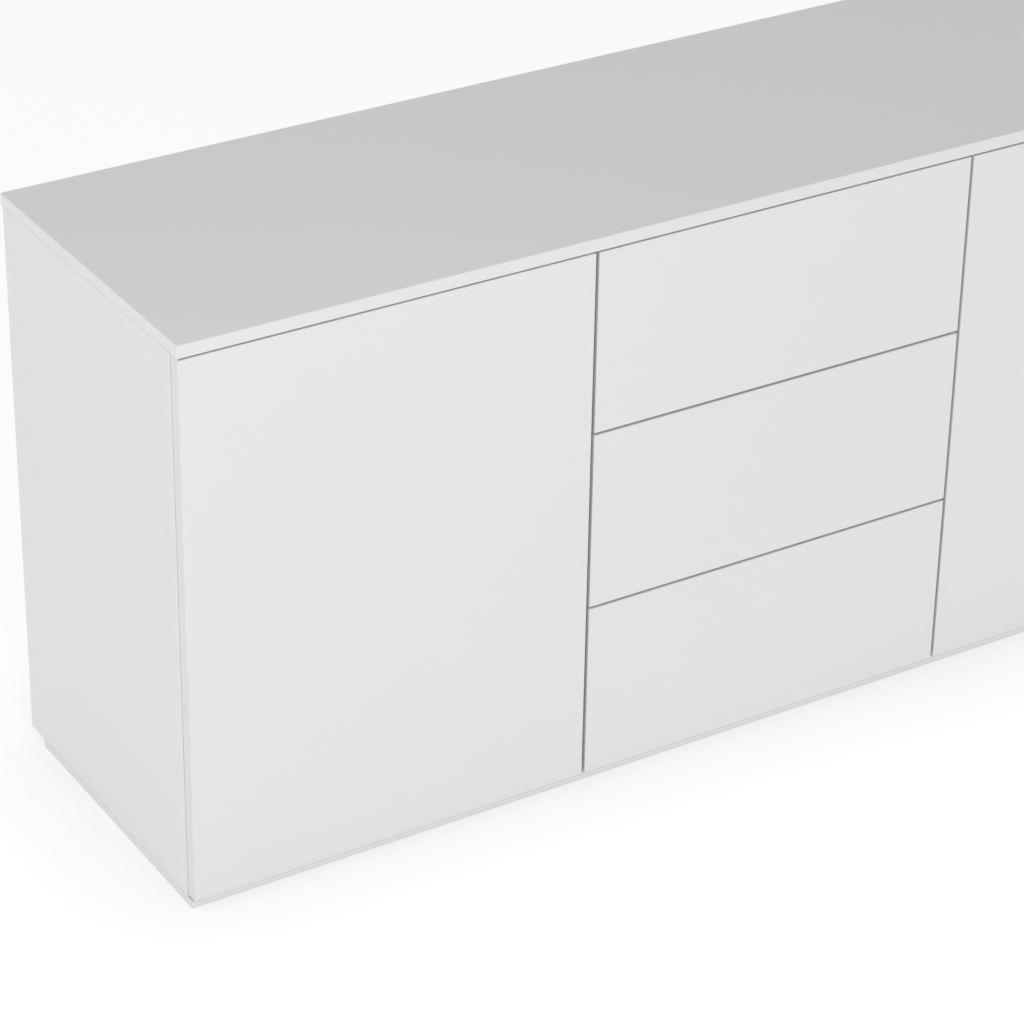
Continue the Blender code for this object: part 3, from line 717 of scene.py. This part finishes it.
def build_runner(drawer, side_name, side):
    label = f"{drawer}_{side_name}"
    low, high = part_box(f"{label}_cabinet_rail")
    z = (low.z + high.z) / 2
    start = low.y

    def rail(name, shape, span, body, slot="zinc_steel", finish=None, bevel=RAIL_EDGE):
        outline = thick_line(channel(**shape), shape["thickness"] / 2)
        section = [(side * (DRAWER_BAY_X - d), z + h) for d, h in outline]
        bm = bmesh.new()
        add_prism(bm, [section], "y", *span)
        origin = (side * DRAWER_BAY_X, span[0], z)
        return piece(name, bm, origin, body, slot, finish, RAIL_SMOOTH_ANGLE, bevel)

    carriage = f"{drawer}_carriage"
    made = rail(f"{label}_outer_rail", OUTER_RAIL, (low.y, high.y), "carcass")
    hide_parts(f"{label}_cabinet_rail")
    low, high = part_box(f"{label}_middle_rail")
    made = rail(f"{label}_sliding_rail", SLIDING_RAIL, (low.y, high.y), carriage)
    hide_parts(f"{label}_middle_rail")
    span = (start, start + RUNNER_LENGTH)
    rail(f"{label}_drawer_rail", DRAWER_RAIL, span, f"{drawer}_drawer")

    for name, shape, span, depth, rise in CAGES:
        rail(f"{label}_{name}_ball_cage", shape, span, carriage, "grey_plastic", CAGE_FINISH, 0)
        bm = bmesh.new()
        for step in range(BALLS_IN_ROW):
            y = span[0] + (step + 0.5) * (span[1] - span[0]) / BALLS_IN_ROW
            for h in (-rise, rise):
                at = Matrix.Translation(Vector((side * (DRAWER_BAY_X - depth), y, z + h)))
                bmesh.ops.create_uvsphere(bm, radius=BALL_RADIUS, matrix=at, **BALL_SEGMENTS)
        origin = (side * (DRAWER_BAY_X - depth), span[0], z)
        piece(f"{label}_{name}_balls", bm, origin, carriage, "zinc_steel", BALL_FINISH, BALL_SMOOTH_ANGLE)

    for name, outwards, body in (("outer", -side, "carcass"), ("drawer", side, f"{drawer}_drawer")):
        depth = RAIL_SCREW_DEPTHS[name]
        bm = bmesh.new()
        for y in SCREW_ROWS:
            add_screw(bm, "x", (side * (DRAWER_BAY_X - depth), y, z), outwards, *RAIL_SCREW)
        origin = (side * (DRAWER_BAY_X - depth), SCREW_ROWS[0], z)
        piece(f"{label}_{name}_rail_screws", bm, origin, body, "zinc_steel")


# Gap ends and base


def build_gap_ends():
    """A lip under the top at each end of the gap over the fronts, which closes it to the side.

    It stands in for whatever hides the gap's end there, and isn't a known piece of such a cabinet.
    """
    low_z, high_z = TOP_UNDERSIDE - GAP_END["height"], TOP_UNDERSIDE - GAP_END["play"]
    for side_name, side in SIDES.items():
        outer, inner = side * HALF_WIDTH, side * (HALF_WIDTH - GAP_END["width"])
        outline = [(outer, low_z), (outer, high_z), (inner, high_z), (inner, low_z)]
        bm = bmesh.new()
        add_prism(bm, [outline], "y", FRONT_Y + GAP_END["front"], FRONT_REAR_Y + GAP_END["rear"])
        origin = (outer, FRONT_Y, low_z)
        name = f"{side_name}_gap_end"
        piece(name, bm, origin, "carcass", "white_lacquer", bevel=GAP_END["play"])


def build_cross_strips():
    """Two strips across the base, under the partitions."""
    front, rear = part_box("base_front_strip"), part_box("base_rear_strip")
    half, gap, height = CROSS_STRIP["half"], CROSS_STRIP["gap"], front[1].z
    for side_name, side in SIDES.items():
        x = side * CROSS_STRIP_X
        outline = [(x - half, 0), (x + half, 0), (x + half, height), (x - half, height)]
        bm = bmesh.new()
        add_prism(bm, [outline], "y", front[1].y + gap, rear[0].y - gap)
        name = f"base_{side_name}_cross_strip"
        piece(name, bm, (x, 0, 0), "carcass", "base_lacquer", bevel=CROSS_STRIP["edge"])


for side_name, side in SIDES.items():
    for level, z in HINGE_LEVELS.items():
        build_cup(side_name, side, level, z)
        build_arm_hardware(side_name, side, level, z)
        for part in ("arm", "link"):
            node = nodes[f"{side_name}_{level}_hinge_{part}"]
            weld(node)
            soften(node, HINGE_EDGE)
    build_shelf_pins(side_name, side)
    build_fittings(side_name, side)
    build_latch_hardware(side_name, side)
    case = nodes[f"{side_name}_latch_case"]
    weld(case)
    soften(case, LATCH_EDGE, 2)
    for drawer in DRAWERS:
        build_runner(drawer, side_name, side)
build_gap_ends()
build_cross_strips()


# Floor, light and camera


def build_floor():
    """A pale studio floor with some glow of its own, and less of it under cover."""
    bm = bmesh.new()
    bmesh.ops.create_circle(bm, cap_ends=True, radius=FLOOR_RADIUS, segments=96)
    mesh = bpy.data.meshes.new("floor")
    bm.to_mesh(mesh)
    bm.free()
    s = Surface("floor", specular=0.0)
    s.colour(s.noise(0.8), (0.545, 0.545, 0.545), (0.555, 0.555, 0.555))
    s.shader.inputs["Roughness"].default_value = 0.9
    s.shader.inputs["Emission Color"].default_value = (1, 1, 1, 1)
    cover = s.add("ShaderNodeAmbientOcclusion")
    cover.inputs["Distance"].default_value = FLOOR_COVER
    glow = s.ranged(cover.outputs["AO"], 0.0, 1.0, *FLOOR_GLOW)
    s.join(glow, s.shader.inputs["Emission Strength"])
    mesh.materials.append(s.material)
    floor = bpy.data.objects.new("floor", mesh)
    floor.location.z = FLOOR_LEVEL
    scene.collection.objects.link(floor)


def build_world():
    """A soft grey sky, darker overhead than at the horizon, and a little darker to the left."""
    world = bpy.data.worlds.new("studio")
    scene.world = world
    world.use_nodes = True
    tree = world.node_tree
    coords = tree.nodes.new("ShaderNodeTexCoord")
    slope = tree.nodes.new("ShaderNodeVectorMath")
    slope.operation = "DOT_PRODUCT"
    slope.inputs[1].default_value = SKY_SLOPE
    level = tree.nodes.new("ShaderNodeMath")
    level.inputs[1].default_value = SKY_HORIZON
    tree.links.new(coords.outputs["Generated"], slope.inputs[0])
    tree.links.new(slope.outputs["Value"], level.inputs[0])
    tree.links.new(level.outputs[0], tree.nodes["Background"].inputs["Strength"])
    tree.nodes["Background"].inputs["Color"].default_value = (1, 1, 1, 1)


def area_light(name, at, aim, size, power):
    light = bpy.data.lights.new(name, "AREA")
    light.shape = "RECTANGLE"
    light.size, light.size_y = size
    light.energy = power
    obj = bpy.data.objects.new(name, light)
    obj.location = at
    obj.rotation_euler = (Vector(aim) - Vector(at)).to_track_quat("-Z", "Y").to_euler()
    scene.collection.objects.link(obj)


build_floor()
build_world()
for name, settings in LIGHTS.items():
    area_light(name, *settings)

camera_data = bpy.data.cameras.new("camera")
camera_data.lens = CAMERA_LENS
camera_data.sensor_width = CAMERA_SENSOR
camera = bpy.data.objects.new("camera", camera_data)
camera.location = CAMERA_AT
camera.rotation_euler = Euler([math.radians(a) for a in CAMERA_TURN], "XYZ")
scene.collection.objects.link(camera)
scene.camera = camera
scene.view_settings.view_transform = "Standard"
